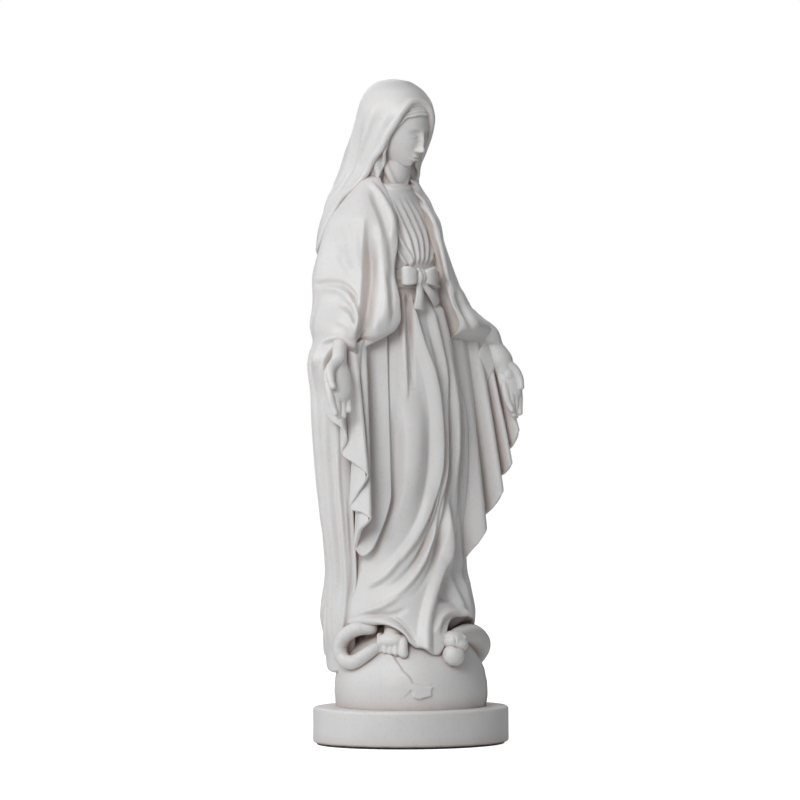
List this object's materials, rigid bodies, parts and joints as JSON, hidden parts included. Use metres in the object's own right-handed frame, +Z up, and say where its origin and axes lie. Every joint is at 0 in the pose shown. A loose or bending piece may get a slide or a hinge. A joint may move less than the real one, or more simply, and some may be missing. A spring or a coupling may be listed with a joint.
{
  "type": "standing robed figure statue",
  "caption": "White cast-marble devotional statue of a robed, veiled figure with lowered open hands, standing on a globe with a serpent underfoot, on an oval plinth.",
  "frame": {"origin": "centre of the oval plinth's underside, on the felt pad's resting face", "axes": "+Z up, the figure faces -Y, its left hand is on the +X side"},
  "size_m": [0.0884, 0.069, 0.25],
  "materials": {
    "cast_marble": "satin, slightly translucent cast marble",
    "felt": "matt felt"
  },
  "bodies": {
    "root": {"felt_pad": "felt", "plinth": "cast_marble", "globe": "cast_marble", "right_foot": "cast_marble", "serpent_tail": "cast_marble", "serpent_head": "cast_marble", "serpent_body": "cast_marble", "apple": "cast_marble", "skirt": "cast_marble", "sash": "cast_marble", "bodice": "cast_marble", "bow": "cast_marble", "neck": "cast_marble", "head": "cast_marble", "right_hand": "cast_marble", "left_hand": "cast_marble", "mantle": "cast_marble", "mantle_fall_right": "cast_marble", "mantle_fall_left": "cast_marble", "hair": "cast_marble", "veil": "cast_marble"}
  },
  "joints": []
}
